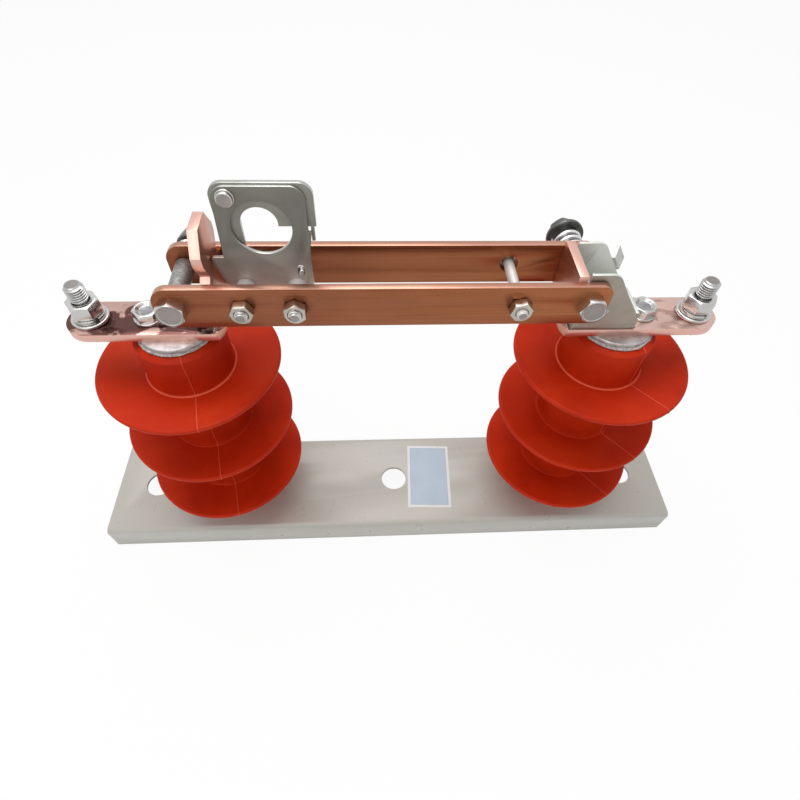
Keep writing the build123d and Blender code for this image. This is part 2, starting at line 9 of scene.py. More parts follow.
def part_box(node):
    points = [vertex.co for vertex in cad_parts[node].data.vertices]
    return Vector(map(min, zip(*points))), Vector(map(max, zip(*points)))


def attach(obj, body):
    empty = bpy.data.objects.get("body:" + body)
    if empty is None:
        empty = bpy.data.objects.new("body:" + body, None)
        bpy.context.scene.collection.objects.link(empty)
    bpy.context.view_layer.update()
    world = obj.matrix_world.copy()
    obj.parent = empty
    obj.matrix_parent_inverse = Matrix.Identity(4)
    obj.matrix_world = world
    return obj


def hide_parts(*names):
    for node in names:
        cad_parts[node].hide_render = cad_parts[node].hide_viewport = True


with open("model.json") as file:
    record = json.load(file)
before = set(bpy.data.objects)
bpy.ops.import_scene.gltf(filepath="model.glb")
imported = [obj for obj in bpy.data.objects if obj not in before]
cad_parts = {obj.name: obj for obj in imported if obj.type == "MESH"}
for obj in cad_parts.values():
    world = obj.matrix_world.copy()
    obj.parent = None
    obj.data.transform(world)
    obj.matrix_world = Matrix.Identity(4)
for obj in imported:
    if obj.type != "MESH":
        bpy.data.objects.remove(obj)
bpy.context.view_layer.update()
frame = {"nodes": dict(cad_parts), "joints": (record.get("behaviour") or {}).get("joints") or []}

# Knife-blade disconnector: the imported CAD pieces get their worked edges, threads, springs and
# finishes here. Lengths are in millimetres and are turned into metres where a piece is drawn.
mm = 0.001
up = Matrix.Identity(4)
down = Matrix.Rotation(math.pi, 4, "X")
to_front = Matrix.Rotation(math.pi / 2, 4, "X")
to_rear = Matrix.Rotation(-math.pi / 2, 4, "X")
merge_reach = 0.002 * mm
flat_within = math.radians(0.4)


def span(node):
    """Lowest and highest corner of a CAD piece, in millimetres."""
    low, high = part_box(node)
    return low / mm, high / mm


def axis_of(node):
    """X and Z of the middle of a CAD piece, in millimetres."""
    low, high = span(node)
    return (low.x + high.x) / 2, (low.z + high.z) / 2


# Hand tools

def take(piece):
    """Selects one piece and nothing else."""
    bpy.ops.object.select_all(action="DESELECT")
    piece.select_set(True)
    bpy.context.view_layer.objects.active = piece


def shape(name, add, **sizes):
    """A ready-made shape, with its place and its turn in its mesh."""
    bpy.ops.object.select_all(action="DESELECT")
    add(**sizes)
    piece = bpy.context.active_object
    piece.name = name
    bpy.ops.object.transform_apply(location=True, rotation=True, scale=True)
    return piece


def draw(name, points):
    """A line pulled from point to point: a plane is merged to one corner and extruded along."""
    line = shape(name, bpy.ops.mesh.primitive_plane_add, size=mm)
    bpy.ops.object.mode_set(mode="EDIT")
    bpy.ops.mesh.select_mode(type="VERT")
    bpy.ops.mesh.select_all(action="SELECT")
    bpy.ops.mesh.merge(type="CENTER")
    pen = Vector((0, 0, 0))
    for number, point in enumerate(points):
        step = Vector(point) * mm - pen
        if number == 0:
            bpy.ops.transform.translate(value=step)
        else:
            bpy.ops.mesh.extrude_vertices_move(TRANSFORM_OT_translate={"value": step})
        pen = pen + step
    bpy.ops.object.mode_set(mode="OBJECT")
    return line


def close_up(piece):
    """Merges what meets and turns every face outwards."""
    take(piece)
    bpy.ops.object.mode_set(mode="EDIT")
    bpy.ops.mesh.select_all(action="SELECT")
    bpy.ops.mesh.remove_doubles(threshold=merge_reach)
    bpy.ops.mesh.normals_make_consistent(inside=False)
    bpy.ops.object.mode_set(mode="OBJECT")


def rounded(outline):
    """Works a round into each outline point that carries a third number, its radius."""
    steps = 5
    result = []
    for number, point in enumerate(outline):
        here = Vector(point[:2])
        if len(point) == 2:
            result.append((here.x, here.y))
            continue
        radius = point[2]
        before = (Vector(outline[number - 1][:2]) - here).normalized()
        after = (Vector(outline[(number + 1) % len(outline)][:2]) - here).normalized()
        half = before.angle(after) / 2
        centre = here + (before + after).normalized() * radius / math.sin(half)
        first = here + before * radius / math.tan(half) - centre
        last = here + after * radius / math.tan(half) - centre
        start = math.atan2(first.y, first.x)
        turn = math.atan2(last.y, last.x) - start
        turn = (turn + math.pi) % math.tau - math.pi
        for step in range(steps + 1):
            angle = start + turn * step / steps
            result.append((
                centre.x + radius * math.cos(angle), centre.y + radius * math.sin(angle)
            ))
    return result


def turned(name, outline, steps=72):
    """A piece turned about Z from (radius, height) points."""
    piece = draw(name, [(radius, 0, height) for radius, height in rounded(outline)])
    bpy.ops.object.mode_set(mode="EDIT")
    bpy.ops.mesh.select_all(action="SELECT")
    bpy.ops.mesh.spin(steps=steps, angle=math.tau, center=(0, 0, 0), axis=(0, 0, 1))
    bpy.ops.object.mode_set(mode="OBJECT")
    close_up(piece)
    return piece


def trim(piece, tool):
    """Leaves what a piece shares with another one, which is used up."""
    take(piece)
    shared = piece.modifiers.new("trim", "BOOLEAN")
    shared.operation = "INTERSECT"
    shared.solver = "EXACT"
    shared.object = tool
    bpy.ops.object.modifier_apply(modifier=shared.name)
    bpy.data.objects.remove(tool)


def ease(piece, width, angle=30):
    """Breaks the edges that are sharper than an angle, where a width is given, and shades."""
    take(piece)
    if width:
        bevel = piece.modifiers.new("eased edges", "BEVEL")
        bevel.width = width * mm
        bevel.segments = 2
        bevel.limit_method = "ANGLE"
        bevel.angle_limit = math.radians(angle)
        bevel.harden_normals = False
        bpy.ops.object.modifier_apply(modifier=bevel.name)
    bpy.ops.object.shade_smooth_by_angle(angle=math.radians(angle))


def place(piece, at, facing=up, turn=0):
    """Turns a piece about its own axis, faces it and sets it down, with its place in its mesh."""
    stand = facing @ Matrix.Rotation(math.radians(turn), 4, "Z")
    piece.matrix_world = Matrix.Translation(Vector(at) * mm) @ stand
    take(piece)
    bpy.ops.object.transform_apply(location=True, rotation=True, scale=True)
    return piece


def joined(name, pieces):
    """Several lumps as one piece."""
    take(pieces[0])
    for piece in pieces[1:]:
        piece.select_set(True)
    bpy.ops.object.join()
    pieces[0].name = name
    return pieces[0]


def worked_copy(node, name, edge):
    """A copy of a CAD piece with merged corners, clean flats and eased edges."""
    mesh = frame["nodes"][node].data.copy()
    piece = bpy.data.objects.new(name, mesh)
    bpy.context.scene.collection.objects.link(piece)
    take(piece)
    if mesh.has_custom_normals:
        bpy.ops.mesh.customdata_custom_splitnormals_clear()
    bpy.ops.object.mode_set(mode="EDIT")
    bpy.ops.mesh.select_all(action="SELECT")
    bpy.ops.mesh.remove_doubles(threshold=merge_reach)
    bpy.ops.mesh.dissolve_limited(angle_limit=flat_within)
    bpy.ops.object.mode_set(mode="OBJECT")
    ease(piece, edge)
    return piece


def install(piece, finishes, body, slot, *nodes):
    """Gives a piece its finishes and its body, in the place of the CAD nodes it stands for."""
    piece.data.name = piece.name
    piece.data.materials.clear()
    for finish in finishes if isinstance(finishes, (list, tuple)) else [finishes]:
        piece.data.materials.append(finish)
    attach(piece, body)
    if nodes:
        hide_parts(*nodes)
    return piece


def edge_finish(piece, is_face):
    """Second finish on every polygon whose normal isn't that of a broad face."""
    for polygon in piece.data.polygons:
        polygon.material_index = 0 if is_face(polygon.normal) else 1


def face_finish(piece, test):
    """Second finish on the polygons that pass a test of their middle, in mm, and normal."""
    for polygon in piece.data.polygons:
        if test(polygon.center / mm, polygon.normal):
            polygon.material_index = 1


# Finishes

class Finish:
    """A material that is built up from patterns on the piece's own coordinates."""

    def __init__(self, name, color, roughness, metal=0.0):
        self.material = bpy.data.materials.new(name)
        self.material.use_nodes = True
        self.nodes = self.material.node_tree.nodes
        self.links = self.material.node_tree.links
        self.shader = self.nodes["Principled BSDF"]
        self.shader.inputs["Base Color"].default_value = (*color, 1)
        self.shader.inputs["Roughness"].default_value = roughness
        self.shader.inputs["Metallic"].default_value = metal
        self.material.diffuse_color = (*color, 1)
        self.where = self.nodes.new("ShaderNodeTexCoord").outputs["Object"]

    def link(self, start, end):
        self.links.new(start, end)

    def clouds(self, scale, detail=3.0, rough=0.55, stretch=(1, 1, 1), distortion=0.0):
        """Noise on the piece's own coordinates, which are stretched first."""
        cloud = self.nodes.new("ShaderNodeTexNoise")
        cloud.inputs["Scale"].default_value = scale
        cloud.inputs["Detail"].default_value = detail
        cloud.inputs["Roughness"].default_value = rough
        cloud.inputs["Distortion"].default_value = distortion
        mapping = self.nodes.new("ShaderNodeMapping")
        mapping.inputs["Scale"].default_value = stretch
        self.link(self.where, mapping.inputs["Vector"])
        self.link(mapping.outputs["Vector"], cloud.inputs["Vector"])
        return cloud.outputs["Fac"]

    def reach(self, axis, low, high):
        """0 below one place along an axis, 1 above the other, in millimetres."""
        split = self.nodes.new("ShaderNodeSeparateXYZ")
        self.link(self.where, split.inputs[0])
        return self.fitted(split.outputs[axis], low * mm, high * mm, 0.0, 1.0)

    def ramp(self, value, stops):
        """A colour for each value, between (position, colour) stops."""
        ramp = self.nodes.new("ShaderNodeValToRGB")
        while len(ramp.color_ramp.elements) < len(stops):
            ramp.color_ramp.elements.new(1)
        for element, (position, color) in zip(ramp.color_ramp.elements, stops):
            element.position = position
            element.color = (*color, 1)
        self.link(value, ramp.inputs["Fac"])
        return ramp.outputs["Color"]

    def fitted(self, value, low, high, new_low, new_high):
        """A value brought from one range to another, and held inside it."""
        fit = self.nodes.new("ShaderNodeMapRange")
        for name, number in zip(
            ("From Min", "From Max", "To Min", "To Max"), (low, high, new_low, new_high)
        ):
            fit.inputs[name].default_value = number
        self.link(value, fit.inputs["Value"])
        return fit.outputs["Result"]

    def mixed(self, amount, first, second):
        """The first colour where the amount is 0, the second one where it is 1."""
        mix = self.nodes.new("ShaderNodeMix")
        mix.data_type = "RGBA"
        self.link(amount, mix.inputs["Factor"])
        for name, value in (("A", first), ("B", second)):
            socket = [i for i in mix.inputs if i.name == name and i.type == "RGBA"][0]
            if isinstance(value, tuple):
                socket.default_value = (*value, 1)
            else:
                self.link(value, socket)
        return [o for o in mix.outputs if o.type == "RGBA"][0]

    def color(self, value):
        self.link(value, self.shader.inputs["Base Color"])

    def roughness(self, noise_value, low, high):
        """Roughness from a noise, which mostly lies between 0.3 and 0.7."""
        fit = self.fitted(noise_value, 0.3, 0.7, low, high)
        self.link(fit, self.shader.inputs["Roughness"])

    def bump(self, value, strength, depth):
        """Fine relief, its depth in millimetres."""
        bump = self.nodes.new("ShaderNodeBump")
        bump.inputs["Strength"].default_value = strength
        bump.inputs["Distance"].default_value = depth * mm
        self.link(value, bump.inputs["Height"])
        self.link(bump.outputs["Normal"], self.shader.inputs["Normal"])


def channel_paint():
    """Satin paint on the base, in three close tones."""
    finish = Finish("warm_grey_paint", (0.55, 0.53, 0.48), 0.42)
    cloud = finish.clouds(9, detail=4)
    finish.color(finish.ramp(cloud, [
        (0.30, (0.475, 0.465, 0.415)), (0.52, (0.49, 0.48, 0.43)), (0.75, (0.505, 0.495, 0.445)),
    ]))
    finish.roughness(finish.clouds(60, detail=5), 0.26, 0.36)
    finish.bump(finish.clouds(700, detail=2), 0.02, 0.05)
    return finish.material


def red_silicone(name, dark, middle, light):
    """Matt moulded rubber with a trace of pale dust in streaks."""
    finish = Finish(name, (0.50, 0.022, 0.004), 0.5)
    finish.shader.inputs["Specular IOR Level"].default_value = 0.12
    cloud = finish.clouds(22, detail=5)
    streaks = finish.clouds(60, detail=3, stretch=(1, 1, 0.12))
    body = finish.ramp(cloud, [(0.28, dark), (0.5, middle), (0.74, light)])
    dusted = finish.ramp(streaks, [(0.58, (0.0, 0.0, 0.0)), (0.9, (0.08, 0.08, 0.08))])
    finish.color(finish.mixed(dusted, body, (0.60, 0.12, 0.06)))
    finish.roughness(finish.clouds(90, detail=5), 0.42, 0.56)
    finish.bump(finish.clouds(900, detail=3), 0.06, 0.08)
    return finish.material


def copper(name, dark, light, low_rough, high_rough, streak=0.3, painted_reflections=None, warmer=None):
    """Rolled copper: fine streaks along its length and, where given, patches of painted
    reflection and a warmer end.
    """
    finish = Finish(name, light, high_rough, metal=1.0)
    body = finish.ramp(finish.clouds(14, detail=4), [(0.32, dark), (0.68, light)])
    fine = finish.clouds(10, detail=5, rough=0.6, stretch=(1.5, 120, 120))
    if warmer:
        color, low, high = warmer
        body = finish.mixed(finish.reach("X", low, high), body, color)
    if streak:
        body = finish.mixed(
            finish.fitted(fine, 0.32, 0.55, streak, 0.0), body, tuple(0.55 * c for c in dark)
        )
    # Patches of painted reflection: darker tones laid over the polished copper
    if painted_reflections:
        color, start, end = painted_reflections
        reflection_amount = finish.fitted(finish.clouds(30, detail=4, distortion=1.0), start, end, 0.0, 1.0)
        body = finish.mixed(reflection_amount, body, color)
    finish.color(body)
    finish.roughness(fine, low_rough, high_rough)
    return finish.material


def zinc(name, dark, light, low_rough, high_rough, grain=45, metal=1.0, foot=None):
    """Plated steel: soft clouds and a fine grain, with a different tone lower down if given,
    which is a painted reflection.
    """
    finish = Finish(name, light, high_rough, metal=metal)
    body = finish.ramp(finish.clouds(grain, detail=4), [(0.32, dark), (0.66, light)])
    # A painted reflection over the lower part
    if foot:
        color, low, high = foot
        body = finish.mixed(finish.reach("Z", low, high), color, body)
    finish.color(body)
    finish.roughness(finish.clouds(grain * 6, detail=4), low_rough, high_rough)
    finish.bump(finish.clouds(grain * 14, detail=3), 0.025, 0.04)
    return finish.material


def mottled_sleeve():
    """Blotched steel of the tube between the blades."""
    finish = Finish("mottled_sleeve", (0.32, 0.32, 0.32), 0.5, metal=0.7)
    speck = finish.clouds(420, detail=6, rough=0.75)
    finish.color(finish.ramp(speck, [
        (0.34, (0.13, 0.135, 0.14)), (0.50, (0.24, 0.235, 0.23)), (0.68, (0.40, 0.39, 0.38)),
    ]))
    finish.roughness(speck, 0.6, 0.35)
    finish.bump(speck, 0.15, 0.12)
    return finish.material


def cast_insert():
    """Rough metal of the inserts in the insulators' ends."""
    finish = Finish("cast_insert", (0.62, 0.61, 0.60), 0.4, metal=1.0)
    cloud = finish.clouds(150, detail=6, rough=0.7)
    finish.color(finish.ramp(cloud, [
        (0.30, (0.26, 0.235, 0.235)), (0.48, (0.40, 0.37, 0.37)), (0.70, (0.52, 0.49, 0.49)),
    ]))
    finish.roughness(cloud, 0.55, 0.28)
    finish.bump(finish.clouds(500, detail=5), 0.22, 0.18)
    return finish.material


def set_cement():
    """Crumbly cement round the inserts."""
    finish = Finish("set_cement", (0.46, 0.42, 0.40), 0.85)
    crumb = finish.clouds(520, detail=6, rough=0.8)
    finish.color(finish.ramp(crumb, [
        (0.34, (0.20, 0.15, 0.14)), (0.50, (0.46, 0.41, 0.39)), (0.68, (0.70, 0.67, 0.65)),
    ]))
    finish.bump(crumb, 0.8, 0.5)
    return finish.material


def printed_film(name, color):
    """One tone of the rating label."""
    finish = Finish(name, color, 0.34)
    cloud = finish.clouds(45, detail=4)
    finish.color(finish.mixed(
        finish.fitted(cloud, 0.3, 0.75, 0.0, 0.35), color, tuple(0.86 * c for c in color)
    ))
    finish.roughness(cloud, 0.28, 0.42)
    return finish.material


paint = channel_paint()
silicone = red_silicone(
    "red_silicone", (0.41, 0.017, 0.003), (0.50, 0.024, 0.003), (0.57, 0.036, 0.005)
)
# Pale silicone: the flash of the parting lines, and the painted highlight round the top shed's
# root
pale_silicone = red_silicone(
    "flash_line_and_highlight_silicone", (0.62, 0.075, 0.035), (0.72, 0.11, 0.055), (0.80, 0.15, 0.08)
)
blade_face = copper(
    "blade_face_copper", (0.235, 0.080, 0.038), (0.315, 0.118, 0.060), 0.32, 0.44, 0.42,
    warmer=((0.40, 0.150, 0.062), -60, 130),
)
blade_edge = copper(
    "blade_edge_copper", (0.44, 0.22, 0.155), (0.54, 0.295, 0.225), 0.26, 0.36, 0.12
)
upright_edge = copper("upright_edge_copper", (0.68, 0.41, 0.34), (0.74, 0.46, 0.39), 0.3, 0.4, 0)
upright_face = copper("upright_face_copper", (0.44, 0.20, 0.14), (0.58, 0.30, 0.23), 0.3, 0.4, 0)
# The dark patches on the left terminal plate and the duller ones on the right are painted
# reflections
plate_left_top = copper(
    "terminal_plate_left_copper", (0.48, 0.30, 0.26), (0.60, 0.40, 0.35), 0.14, 0.22, 0,
    painted_reflections=((0.13, 0.058, 0.052), 0.47, 0.51),
)
plate_right_top = copper(
    "terminal_plate_right_copper", (0.60, 0.40, 0.35), (0.67, 0.46, 0.41), 0.2, 0.3, 0,
    painted_reflections=((0.44, 0.27, 0.23), 0.60, 0.63),
)
# The pull plate is painted lighter and pinkish below 280 mm: a painted reflection
sheet_zinc = zinc(
    "sheet_zinc", (0.16, 0.158, 0.133), (0.195, 0.19, 0.163), 0.42, 0.5, metal=0.45,
    foot=((0.78, 0.67, 0.60), 280, 318),
)
# The lever's zinc is a lighter copy of the pull plate's: painted light
lit_lever_zinc = zinc("lit_lever_zinc", (0.23, 0.227, 0.197), (0.28, 0.275, 0.24), 0.42, 0.5, metal=0.45)
sheet_cut = zinc("sheet_cut_edge", (0.38, 0.385, 0.36), (0.50, 0.505, 0.48), 0.28, 0.36)
bracket_zinc = zinc(
    "bracket_zinc", (0.60, 0.62, 0.575), (0.68, 0.70, 0.655), 0.36, 0.46, metal=0.5
)
# A darker copy of the bracket's zinc for its front cheek: painted shade
shaded_cheek_zinc = zinc(
    "front_cheek_zinc", (0.31, 0.275, 0.225), (0.37, 0.33, 0.275), 0.36, 0.46, metal=0.8
)
bolt_zinc = zinc("bolt_zinc", (0.50, 0.49, 0.475), (0.60, 0.59, 0.575), 0.20, 0.27)
stud_zinc = zinc("stud_zinc", (0.42, 0.42, 0.41), (0.52, 0.52, 0.51), 0.24, 0.32)
head_zinc = zinc("head_face_zinc", (0.25, 0.225, 0.21), (0.32, 0.295, 0.28), 0.30, 0.38)
# Darker zinc for the dishes of the cap bolt heads: painted shade in the recess
shaded_dish_zinc = zinc("head_dish_zinc", (0.24, 0.24, 0.25), (0.42, 0.42, 0.43), 0.22, 0.3, grain=220)
nut_zinc = zinc("nut_zinc", (0.40, 0.365, 0.31), (0.52, 0.48, 0.42), 0.28, 0.36)
dark_steel = zinc("darkened_steel", (0.075, 0.08, 0.075), (0.16, 0.165, 0.16), 0.3, 0.42, 160)
spring_steel = zinc("spring_steel", (0.66, 0.66, 0.68), (0.78, 0.78, 0.80), 0.14, 0.2)
rod_zinc = zinc("rod_zinc", (0.66, 0.63, 0.61), (0.76, 0.73, 0.71), 0.42, 0.5, metal=0.35)
sleeve_steel = mottled_sleeve()
insert_metal = cast_insert()
cement = set_cement()


# Fasteners: sizes across flats, heights of heads, and shares that nuts and heads have in common

m12, m10, m8 = 18, 16, 13
m12_head, m10_head, m8_head = 7.5, 6.4, 5.3
flat_share, past_corners_share, rim_share = 0.475, 0.6, 0.86
chamfer_slope = math.tan(math.radians(30))
thread_depth_share = 0.6


def corner_radius(across_flats):
    """From a hexagon's middle to its corners."""
    return across_flats / math.sqrt(3)


def trimmed_hexagon(name, across_flats, outline, turn=0):
    """A hexagon bar trimmed to a turned outline, which leaves the arcs of its chamfers."""
    tool = turned(name + "_outline", outline, 96)
    height = max(point[1] for point in outline)
    bar = shape(
        name, bpy.ops.mesh.primitive_cylinder_add,
        vertices=6, radius=corner_radius(across_flats) * mm, depth=(height + 2) * mm,
        location=(0, 0, height / 2 * mm), rotation=(0, 0, math.radians(30 + turn)),
    )
    trim(bar, tool)
    ease(bar, 0.18)
    return bar


def hexagon_nut(name, across_flats, height, bore, turn=0):
    """A nut with chamfered corners and a countersunk bore."""
    face = across_flats * flat_share
    outside = across_flats * past_corners_share
    drop = (outside - face) * chamfer_slope
    sink = 0.6
    return trimmed_hexagon(name, across_flats, [
        (bore + sink, 0), (face, 0), (outside, drop), (outside, height - drop),
        (face, height), (bore + sink, height), (bore, height - sink), (bore, sink),
        (bore + sink, 0),
    ], turn)


def hexagon_head(name, across_flats, height, dish, turn=0, face_share=flat_share):
    """A pressed bolt head: chamfered corners, a raised rim and a dish of the given depth."""
    face = across_flats * face_share
    outside = across_flats * past_corners_share
    drop = (outside - face) * chamfer_slope
    rim_inside = face * rim_share
    return trimmed_hexagon(name, across_flats, [
        (0, 0), (outside, 0), (outside, height - drop), (face, height, 0.5),
        (rim_inside, height, 0.4), (rim_inside - dish * 0.9, height - dish, 0.3),
        (0, height - dish * 1.1),
    ], turn)


def thread(name, radius, pitch, length, end_cut):
    """A core with a helical ridge round it, from 0 to length, with its free end chamfered."""
    root = radius - thread_depth_share * pitch
    core = turned(name, [
        (0, 0), (root, 0), (root, length - 0.5 * end_cut), (root - 0.5 * end_cut, length),
        (0, length),
    ])
    ease(core, 0)
    inside = root - 0.1
    ridge = draw(name + "_ridge", [
        (inside, 0, 0.05 * pitch), (radius, 0, 0.42 * pitch), (radius, 0, 0.58 * pitch),
        (inside, 0, 0.95 * pitch), (inside, 0, 0.05 * pitch),
    ])
    close_up(ridge)
    coiled(ridge, pitch, (length - 0.6 * end_cut) / pitch - 1)
    ease(ridge, 0, 40)
    return joined(name, [core, ridge])


def coiled(section, pitch, turns):
    """Winds a section about Z, pitch by pitch, and closes both ends."""
    take(section)
    rounds = math.ceil(turns)
    screw = section.modifiers.new("coils", "SCREW")
    screw.axis = "Z"
    screw.angle = math.tau * turns / rounds
    screw.screw_offset = pitch * turns / rounds * mm
    screw.iterations = rounds
    screw.steps = screw.render_steps = 48
    bpy.ops.object.modifier_apply(modifier=screw.name)
    bpy.ops.object.mode_set(mode="EDIT")
    bpy.ops.mesh.select_all(action="SELECT")
    bpy.ops.mesh.remove_doubles(threshold=merge_reach)
    bpy.ops.mesh.select_mode(type="EDGE")
    bpy.ops.mesh.select_all(action="DESELECT")
    bpy.ops.mesh.select_non_manifold()
    bpy.ops.mesh.fill_holes(sides=0)
    bpy.ops.object.mode_set(mode="OBJECT")
    close_up(section)


def washer(name, outer, inner, thickness, round_edge=0.5):
    """A flat ring, or a tube, with its outer edges rounded."""
    piece = turned(name, [
        (inner, 0), (outer, 0, round_edge), (outer, thickness, round_edge), (inner, thickness),
        (inner, 0),
    ], 96)
    ease(piece, 0)
    return piece


def spring(name, start, length, outside, wire, turns):
    """A round-wire coil that runs back from its start, with its outer radius given."""
    section = shape(
        name, bpy.ops.mesh.primitive_circle_add, vertices=14, radius=wire / 2 * mm,
        location=((outside - wire / 2) * mm, 0, wire / 2 * mm), rotation=(math.pi / 2, 0, 0),
    )
    coiled(section, (length - wire) / turns, turns)
    ease(section, 0, 60)
    return place(section, start, to_rear)


# Base and insulators

sheet_ease = 0.35
rail = worked_copy("base_channel", "base_rail", sheet_ease)
install(rail, paint, "base", "base_paint", "base_channel")

# Bare rating label: a film with a paler border and a thin printed frame, and nothing in it
label_wide, label_long, label_thick = 43.3, 71.8, 0.12
label_border, label_line = 2.7, 0.45
label_x, label_y, label_turn = 36.2, 1.9, -2.4
label = shape("bare_label", bpy.ops.mesh.primitive_plane_add, size=mm)
label.scale = (label_wide, label_long, 1)
bpy.ops.object.transform_apply(scale=True)
install(label, [
    printed_film("label_border", (0.72, 0.73, 0.74)),
    printed_film("label_centre", (0.42, 0.51, 0.61)),
    printed_film("label_frame_line", (0.30, 0.36, 0.46)),
], "base", "base_paint")
bpy.ops.object.mode_set(mode="EDIT")
bpy.ops.mesh.select_all(action="SELECT")
bpy.ops.mesh.inset(thickness=label_border * mm)
bpy.ops.mesh.inset(thickness=label_line * mm)
bpy.ops.object.mode_set(mode="OBJECT")
just_past_border = label_wide / 2 - label_border + 0.1
centre = max(label.data.polygons, key=lambda face: face.area)
for face in label.data.polygons:
    inside_border = all(
        abs(label.data.vertices[corner].co.x) < just_past_border * mm for corner in face.vertices
    )
    face.material_index = 1 if face == centre else 2 if inside_border else 0
film = label.modifiers.new("film", "SOLIDIFY")
film.thickness = label_thick * mm
film.offset = 1
bpy.ops.object.modifier_apply(modifier=film.name)
place(label, (label_x, label_y, span("base_channel")[1].z), up, label_turn)

# Radius of the sheds' rims, their heights, and the socket at each end that takes an insert
rim = 65.6
sheds = [87.3, 151.7, 216.1]
socket, socket_deep = 25.1, 10
mould_line_turn = {"left": -75.0, "right": -58.0}
rib_wide = 0.5
for side in ("left", "right"):
    low, high = span(f"insulator_{side}")
    axis = ((low.x + high.x) / 2, 0, 0)
    outline = [(0, low.z + socket_deep), (socket, low.z + socket_deep), (socket, low.z),
               (28.5, low.z, 0.8), (28.8, low.z + 7, 0.6), (28.8, low.z + 9)]
    for shed in sheds:
        outline += [
            (29.0, shed - 7.4, 6.0), (rim, shed - 2, 1.5), (rim, shed + 2, 1.7),
            (32.8, shed - 3.4), (32.4, shed - 2.8), (31.8, shed - 2.6), (31.0, shed - 2.8, 0.4),
        ]
    outline += [(30.4, high.z - 3.6, 0.5), (26.6, high.z - 1.2, 0.6), (socket, high.z - 1.4),
                (socket, high.z - socket_deep), (0, high.z - socket_deep)]
    moulding = turned(f"insulator_moulding_{side}", outline, 160)
    ease(moulding, 0, 40)
    install(moulding, [silicone, pale_silicone], "base", "insulator_red", f"insulator_{side}")
    # The pale line round the root of the top shed is a painted highlight on its fillet; the lower
    # sheds, in shade, have none
    face_finish(moulding, lambda middle, normal: (
        31.9 < middle.xy.length < 32.7 and middle.z > sheds[-1] - 5
    ))
    place(moulding, axis)

    # The parting line of the mould stands a little proud all the way down on both sides
    skin = [(radius, 0, height) for radius, height in rounded(outline) if radius > socket + 0.9]
    rib = draw(f"parting_line_{side}", skin)
    bpy.ops.object.mode_set(mode="EDIT")
    bpy.ops.mesh.select_all(action="SELECT")
    bpy.ops.transform.translate(value=(0, -rib_wide / 2 * mm, 0))
    bpy.ops.mesh.extrude_edges_move(TRANSFORM_OT_translate={"value": (0, rib_wide * mm, 0)})
    bpy.ops.object.mode_set(mode="OBJECT")
    thick = rib.modifiers.new("rib", "SOLIDIFY")
    thick.thickness = rib_wide * mm
    thick.offset = 0
    bpy.ops.object.modifier_apply(modifier=thick.name)
    close_up(rib)
    twin = rib.copy()
    twin.data = rib.data.copy()
    bpy.context.scene.collection.objects.link(twin)
    place(rib, axis, up, mould_line_turn[side])
    place(twin, axis, up, mould_line_turn[side] + 180)
    rib = joined(f"parting_line_{side}", [rib, twin])
    install(rib, pale_silicone, "base", "insulator_red")

    # Cast insert that carries the terminal plate, with the cement that came up round it
    low, high = span(f"insulator_cap_{side}")
    head = turned(f"insert_head_{side}", [
        (0, low.z), (25, low.z), (25, high.z, 0.8), (0, high.z),
    ], 120)
    ease(head, 0)
    place(head, axis)
    install(head, insert_metal, "base", "insert_steel", f"insulator_cap_{side}")
    bead = shape(
        f"cement_bead_{side}", bpy.ops.mesh.primitive_torus_add,
        major_radius=25.4 * mm, minor_radius=1.1 * mm, major_segments=220, minor_segments=14,
        location=(0, 0, (high.z - 3.9) * mm),
    )
    shift = 7.3 if side == "right" else 0
    for corner in bead.data.vertices:
        around = Vector((corner.co.x, corner.co.y, 0)).normalized()
        lump = noise.noise(corner.co * 240 + Vector((shift, 0, 0)))
        crumb = noise.noise(corner.co * 900 + Vector((0, shift, 0)))
        corner.co += around * (0.9 * lump + 0.5 * crumb) * mm
        corner.co.z += (0.7 * lump + 0.3 * crumb) * mm
    bpy.ops.object.shade_smooth_by_angle(angle=math.radians(50))
    place(bead, axis)
    install(bead, cement, "base", "insert_steel")

    foot = worked_copy(f"insulator_foot_{side}", f"foot_insert_{side}", 0.3)
    install(foot, insert_metal, "base", "insert_steel", f"insulator_foot_{side}")
    low, high = span(f"foot_bolt_{side}")
    seat = low.z + m12_head
    head = hexagon_head(f"foot_screw_head_{side}", m12, m12_head, 0.6)
    place(head, (axis[0], 0, seat), down)
    flat = washer(f"foot_washer_{side}", 12, 5.8, 2.5)
    place(flat, (axis[0], 0, seat))
    start = seat + 2.4
    shank = turned(f"foot_shank_{side}", [
        (0, 0), (6, 0), (6, high.z - start, 0.8), (0, high.z - start),
    ])
    ease(shank, 0)
    place(shank, (axis[0], 0, start))
    install(
        joined(f"foot_screw_{side}", [head, flat, shank]), bolt_zinc, "base", "zinc_fastener",
        f"foot_bolt_{side}",
    )


# Copper and sheet metal

fixed = worked_copy("fixed_contact", "fixed_contact_plate", 0.6)
install(fixed, [plate_left_top, upright_edge, upright_face], "base", "copper", "fixed_contact")
hinged = worked_copy("hinge_contact", "hinge_contact_plate", 0.6)
install(hinged, [plate_right_top, upright_edge, upright_face], "base", "copper", "hinge_contact")
# A height just above the flat parts of the terminal plates
over_plates = 262
for plate in (fixed, hinged):
    for polygon in plate.data.polygons:
        if abs(polygon.normal.z) > 0.9 and polygon.center.z < over_plates * mm:
            polygon.material_index = 0
        elif abs(polygon.normal.x) > 0.6:
            polygon.material_index = 2
        else:
            polygon.material_index = 1


def is_side(normal):
    """Whether a face looks to the front or to the back."""
    return abs(normal.y) > 0.8


